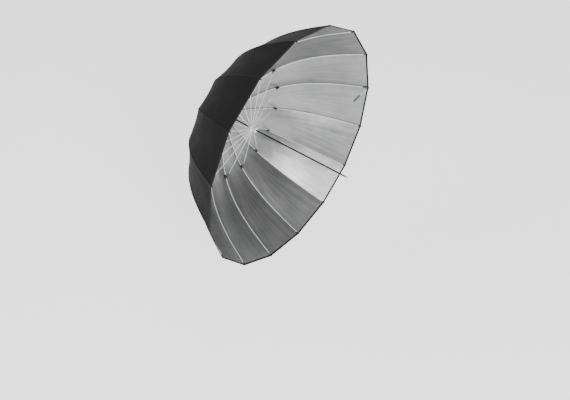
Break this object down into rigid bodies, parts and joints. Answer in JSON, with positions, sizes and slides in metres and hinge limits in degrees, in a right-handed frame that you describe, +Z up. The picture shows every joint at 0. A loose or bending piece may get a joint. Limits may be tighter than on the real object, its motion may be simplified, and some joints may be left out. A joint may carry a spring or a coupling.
{
  "type": "umbrella reflector",
  "caption": "Deep folding reflector umbrella with a black outside and a silver inside, bent ribs, straight stretchers, a sliding runner and a slim shaft for a lamp holder.",
  "frame": {"origin": "the place on the shaft's axis where a lamp's umbrella holder grips it, 100 mm from the shaft's end", "axes": "+Y along the shaft from the grip towards the crown, so the canopy opens towards -Y; +X out along the first rib; +Z up"},
  "size_m": [1.3616, 0.8421, 1.3616],
  "materials": {
    "canopy_cloth": "matt black outside, silver coated inside",
    "silver_lining": "silver coated cloth, satin",
    "hem_tape": "matt woven tape",
    "strap_cloth": "matt woven tape",
    "rib_rod": "satin fibreglass",
    "stretcher_rod": "satin",
    "shaft_tube": "semi-gloss black",
    "end_plug": "matt",
    "crown_plastic": "satin",
    "runner_plastic": "satin",
    "black_plastic": "matt",
    "hinge_wire": "drawn wire",
    "pin_steel": "satin",
    "catch_steel": "satin"
  },
  "bodies": {
    "shaft": {"shaft_tube": "shaft_tube", "shaft_end_plug": "end_plug", "crown_notch": "crown_plastic", "crown_wire": "hinge_wire", "crown_cap": "black_plastic", "crown_pin": "pin_steel", "runner_stop_pin": "pin_steel", "catch_pin": "pin_steel"},
    "runner": {"runner": "runner_plastic", "runner_wire": "hinge_wire"},
    "catch": {"catch_lever": "catch_steel"},
    "rib_01": {"rib_01": "rib_rod", "canopy_panel_01": "canopy_cloth", "closure_strap": "strap_cloth"},
    "stretcher_01": {"stretcher_01": "stretcher_rod"},
    "rib_02": {"rib_02": "rib_rod", "canopy_panel_02": "canopy_cloth"},
    "stretcher_02": {"stretcher_02": "stretcher_rod"},
    "rib_03": {"rib_03": "rib_rod", "canopy_panel_03": "canopy_cloth"},
    "stretcher_03": {"stretcher_03": "stretcher_rod"},
    "rib_04": {"rib_04": "rib_rod", "canopy_panel_04": "canopy_cloth"},
    "stretcher_04": {"stretcher_04": "stretcher_rod"},
    "rib_05": {"rib_05": "rib_rod", "canopy_panel_05": "canopy_cloth"},
    "stretcher_05": {"stretcher_05": "stretcher_rod"},
    "rib_06": {"rib_06": "rib_rod", "canopy_panel_06": "canopy_cloth"},
    "stretcher_06": {"stretcher_06": "stretcher_rod"},
    "rib_07": {"rib_07": "rib_rod", "canopy_panel_07": "canopy_cloth"},
    "stretcher_07": {"stretcher_07": "stretcher_rod"},
    "rib_08": {"rib_08": "rib_rod", "canopy_panel_08": "canopy_cloth"},
    "stretcher_08": {"stretcher_08": "stretcher_rod"},
    "rib_09": {"rib_09": "rib_rod", "canopy_panel_09": "canopy_cloth"},
    "stretcher_09": {"stretcher_09": "stretcher_rod"},
    "rib_10": {"rib_10": "rib_rod", "canopy_panel_10": "canopy_cloth"},
    "stretcher_10": {"stretcher_10": "stretcher_rod"},
    "rib_11": {"rib_11": "rib_rod", "canopy_panel_11": "canopy_cloth"},
    "stretcher_11": {"stretcher_11": "stretcher_rod"},
    "rib_12": {"rib_12": "rib_rod", "canopy_panel_12": "canopy_cloth"},
    "stretcher_12": {"stretcher_12": "stretcher_rod"},
    "rib_13": {"rib_13": "rib_rod", "canopy_panel_13": "canopy_cloth"},
    "stretcher_13": {"stretcher_13": "stretcher_rod"},
    "rib_14": {"rib_14": "rib_rod", "canopy_panel_14": "canopy_cloth"},
    "stretcher_14": {"stretcher_14": "stretcher_rod"},
    "rib_15": {"rib_15": "rib_rod", "canopy_panel_15": "canopy_cloth"},
    "stretcher_15": {"stretcher_15": "stretcher_rod"},
    "rib_16": {"rib_16": "rib_rod", "canopy_panel_16": "canopy_cloth"},
    "stretcher_16": {"stretcher_16": "stretcher_rod"}
  },
  "joints": [
    {"name": "runner_slide", "type": "slide", "parent": "shaft", "child": "runner", "axis": [0, -1, 0], "range_m": [0, 0.45177], "deforming": ["catch_lever"]},
    {"name": "catch_press", "type": "hinge", "parent": "shaft", "child": "catch", "pos_m": [0, 0.4562, 0.001], "axis": [-1, 0, 0], "range_deg": [0, 3.5], "stiffness_Nm_per_rad": 0.3},
    {"name": "rib_01_fold", "type": "hinge", "parent": "shaft", "child": "rib_01", "pos_m": [0.0135, 0.728, 0], "axis": [0, 0, -1], "range_deg": [0, 50], "deforming": ["canopy_panel_01", "closure_strap"]},
    {"name": "stretcher_01_turn", "type": "hinge", "parent": "runner", "child": "stretcher_01", "pos_m": [0.0165, 0.5325, 0.0068], "axis": [0, 0, 1], "range_deg": [0, 49.5]},
    {"name": "rib_02_fold", "type": "hinge", "parent": "shaft", "child": "rib_02", "pos_m": [0.01247, 0.728, 0.00517], "axis": [0.3827, 0, -0.9239], "range_deg": [0, 50], "deforming": ["canopy_panel_02"]},
    {"name": "stretcher_02_turn", "type": "hinge", "parent": "runner", "child": "stretcher_02", "pos_m": [0.01264, 0.5325, 0.0126], "axis": [-0.3827, 0, 0.9239], "range_deg": [0, 49.5]},
    {"name": "rib_03_fold", "type": "hinge", "parent": "shaft", "child": "rib_03", "pos_m": [0.00955, 0.728, 0.00955], "axis": [0.7071, 0, -0.7071], "range_deg": [0, 50], "deforming": ["canopy_panel_03"]},
    {"name": "stretcher_03_turn", "type": "hinge", "parent": "runner", "child": "stretcher_03", "pos_m": [0.00686, 0.5325, 0.01648], "axis": [-0.7071, 0, 0.7071], "range_deg": [0, 49.5]},
    {"name": "rib_04_fold", "type": "hinge", "parent": "shaft", "child": "rib_04", "pos_m": [0.00517, 0.728, 0.01247], "axis": [0.9239, 0, -0.3827], "range_deg": [0, 50], "deforming": ["canopy_panel_04"]},
    {"name": "stretcher_04_turn", "type": "hinge", "parent": "runner", "child": "stretcher_04", "pos_m": [0.00003, 0.5325, 0.01785], "axis": [-0.9239, 0, 0.3827], "range_deg": [0, 49.5]},
    {"name": "rib_05_fold", "type": "hinge", "parent": "shaft", "child": "rib_05", "pos_m": [0, 0.728, 0.0135], "axis": [1, 0, 0], "range_deg": [0, 50], "deforming": ["canopy_panel_05"]},
    {"name": "stretcher_05_turn", "type": "hinge", "parent": "runner", "child": "stretcher_05", "pos_m": [-0.0068, 0.5325, 0.0165], "axis": [-1, 0, 0], "range_deg": [0, 49.5]},
    {"name": "rib_06_fold", "type": "hinge", "parent": "shaft", "child": "rib_06", "pos_m": [-0.00517, 0.728, 0.01247], "axis": [0.9239, 0, 0.3827], "range_deg": [0, 50], "deforming": ["canopy_panel_06"]},
    {"name": "stretcher_06_turn", "type": "hinge", "parent": "runner", "child": "stretcher_06", "pos_m": [-0.0126, 0.5325, 0.01264], "axis": [-0.9239, 0, -0.3827], "range_deg": [0, 49.5]},
    {"name": "rib_07_fold", "type": "hinge", "parent": "shaft", "child": "rib_07", "pos_m": [-0.00955, 0.728, 0.00955], "axis": [0.7071, 0, 0.7071], "range_deg": [0, 50], "deforming": ["canopy_panel_07"]},
    {"name": "stretcher_07_turn", "type": "hinge", "parent": "runner", "child": "stretcher_07", "pos_m": [-0.01648, 0.5325, 0.00686], "axis": [-0.7071, 0, -0.7071], "range_deg": [0, 49.5]},
    {"name": "rib_08_fold", "type": "hinge", "parent": "shaft", "child": "rib_08", "pos_m": [-0.01247, 0.728, 0.00517], "axis": [0.3827, 0, 0.9239], "range_deg": [0, 50], "deforming": ["canopy_panel_08"]},
    {"name": "stretcher_08_turn", "type": "hinge", "parent": "runner", "child": "stretcher_08", "pos_m": [-0.01785, 0.5325, 0.00003], "axis": [-0.3827, 0, -0.9239], "range_deg": [0, 49.5]},
    {"name": "rib_09_fold", "type": "hinge", "parent": "shaft", "child": "rib_09", "pos_m": [-0.0135, 0.728, 0], "axis": [0, 0, 1], "range_deg": [0, 50], "deforming": ["canopy_panel_09"]},
    {"name": "stretcher_09_turn", "type": "hinge", "parent": "runner", "child": "stretcher_09", "pos_m": [-0.0165, 0.5325, -0.0068], "axis": [0, 0, -1], "range_deg": [0, 49.5]},
    {"name": "rib_10_fold", "type": "hinge", "parent": "shaft", "child": "rib_10", "pos_m": [-0.01247, 0.728, -0.00517], "axis": [-0.3827, 0, 0.9239], "range_deg": [0, 50], "deforming": ["canopy_panel_10"]},
    {"name": "stretcher_10_turn", "type": "hinge", "parent": "runner", "child": "stretcher_10", "pos_m": [-0.01264, 0.5325, -0.0126], "axis": [0.3827, 0, -0.9239], "range_deg": [0, 49.5]},
    {"name": "rib_11_fold", "type": "hinge", "parent": "shaft", "child": "rib_11", "pos_m": [-0.00955, 0.728, -0.00955], "axis": [-0.7071, 0, 0.7071], "range_deg": [0, 50], "deforming": ["canopy_panel_11"]},
    {"name": "stretcher_11_turn", "type": "hinge", "parent": "runner", "child": "stretcher_11", "pos_m": [-0.00686, 0.5325, -0.01648], "axis": [0.7071, 0, -0.7071], "range_deg": [0, 49.5]},
    {"name": "rib_12_fold", "type": "hinge", "parent": "shaft", "child": "rib_12", "pos_m": [-0.00517, 0.728, -0.01247], "axis": [-0.9239, 0, 0.3827], "range_deg": [0, 50], "deforming": ["canopy_panel_12"]},
    {"name": "stretcher_12_turn", "type": "hinge", "parent": "runner", "child": "stretcher_12", "pos_m": [-0.00003, 0.5325, -0.01785], "axis": [0.9239, 0, -0.3827], "range_deg": [0, 49.5]},
    {"name": "rib_13_fold", "type": "hinge", "parent": "shaft", "child": "rib_13", "pos_m": [0, 0.728, -0.0135], "axis": [-1, 0, 0], "range_deg": [0, 50], "deforming": ["canopy_panel_13"]},
    {"name": "stretcher_13_turn", "type": "hinge", "parent": "runner", "child": "stretcher_13", "pos_m": [0.0068, 0.5325, -0.0165], "axis": [1, 0, 0], "range_deg": [0, 49.5]},
    {"name": "rib_14_fold", "type": "hinge", "parent": "shaft", "child": "rib_14", "pos_m": [0.00517, 0.728, -0.01247], "axis": [-0.9239, 0, -0.3827], "range_deg": [0, 50], "deforming": ["canopy_panel_14"]},
    {"name": "stretcher_14_turn", "type": "hinge", "parent": "runner", "child": "stretcher_14", "pos_m": [0.0126, 0.5325, -0.01264], "axis": [0.9239, 0, 0.3827], "range_deg": [0, 49.5]},
    {"name": "rib_15_fold", "type": "hinge", "parent": "shaft", "child": "rib_15", "pos_m": [0.00955, 0.728, -0.00955], "axis": [-0.7071, 0, -0.7071], "range_deg": [0, 50], "deforming": ["canopy_panel_15"]},
    {"name": "stretcher_15_turn", "type": "hinge", "parent": "runner", "child": "stretcher_15", "pos_m": [0.01648, 0.5325, -0.00686], "axis": [0.7071, 0, 0.7071], "range_deg": [0, 49.5]},
    {"name": "rib_16_fold", "type": "hinge", "parent": "shaft", "child": "rib_16", "pos_m": [0.01247, 0.728, -0.00517], "axis": [-0.3827, 0, -0.9239], "range_deg": [0, 50], "deforming": ["canopy_panel_16"]},
    {"name": "stretcher_16_turn", "type": "hinge", "parent": "runner", "child": "stretcher_16", "pos_m": [0.01785, 0.5325, -0.00003], "axis": [0.3827, 0, 0.9239], "range_deg": [0, 49.5]}
  ],
  "couplings": [
    {"joint": "rib_01_fold", "follows": "runner_slide", "rad_per_m": 1.9316},
    {"joint": "stretcher_01_turn", "follows": "runner_slide", "rad_per_m": 1.9122},
    {"joint": "rib_02_fold", "follows": "runner_slide", "rad_per_m": 1.9316},
    {"joint": "stretcher_02_turn", "follows": "runner_slide", "rad_per_m": 1.9122},
    {"joint": "rib_03_fold", "follows": "runner_slide", "rad_per_m": 1.9316},
    {"joint": "stretcher_03_turn", "follows": "runner_slide", "rad_per_m": 1.9122},
    {"joint": "rib_04_fold", "follows": "runner_slide", "rad_per_m": 1.9316},
    {"joint": "stretcher_04_turn", "follows": "runner_slide", "rad_per_m": 1.9122},
    {"joint": "rib_05_fold", "follows": "runner_slide", "rad_per_m": 1.9316},
    {"joint": "stretcher_05_turn", "follows": "runner_slide", "rad_per_m": 1.9122},
    {"joint": "rib_06_fold", "follows": "runner_slide", "rad_per_m": 1.9316},
    {"joint": "stretcher_06_turn", "follows": "runner_slide", "rad_per_m": 1.9122},
    {"joint": "rib_07_fold", "follows": "runner_slide", "rad_per_m": 1.9316},
    {"joint": "stretcher_07_turn", "follows": "runner_slide", "rad_per_m": 1.9122},
    {"joint": "rib_08_fold", "follows": "runner_slide", "rad_per_m": 1.9316},
    {"joint": "stretcher_08_turn", "follows": "runner_slide", "rad_per_m": 1.9122},
    {"joint": "rib_09_fold", "follows": "runner_slide", "rad_per_m": 1.9316},
    {"joint": "stretcher_09_turn", "follows": "runner_slide", "rad_per_m": 1.9122},
    {"joint": "rib_10_fold", "follows": "runner_slide", "rad_per_m": 1.9316},
    {"joint": "stretcher_10_turn", "follows": "runner_slide", "rad_per_m": 1.9122},
    {"joint": "rib_11_fold", "follows": "runner_slide", "rad_per_m": 1.9316},
    {"joint": "stretcher_11_turn", "follows": "runner_slide", "rad_per_m": 1.9122},
    {"joint": "rib_12_fold", "follows": "runner_slide", "rad_per_m": 1.9316},
    {"joint": "stretcher_12_turn", "follows": "runner_slide", "rad_per_m": 1.9122},
    {"joint": "rib_13_fold", "follows": "runner_slide", "rad_per_m": 1.9316},
    {"joint": "stretcher_13_turn", "follows": "runner_slide", "rad_per_m": 1.9122},
    {"joint": "rib_14_fold", "follows": "runner_slide", "rad_per_m": 1.9316},
    {"joint": "stretcher_14_turn", "follows": "runner_slide", "rad_per_m": 1.9122},
    {"joint": "rib_15_fold", "follows": "runner_slide", "rad_per_m": 1.9316},
    {"joint": "stretcher_15_turn", "follows": "runner_slide", "rad_per_m": 1.9122},
    {"joint": "rib_16_fold", "follows": "runner_slide", "rad_per_m": 1.9316},
    {"joint": "stretcher_16_turn", "follows": "runner_slide", "rad_per_m": 1.9122}
  ]
}
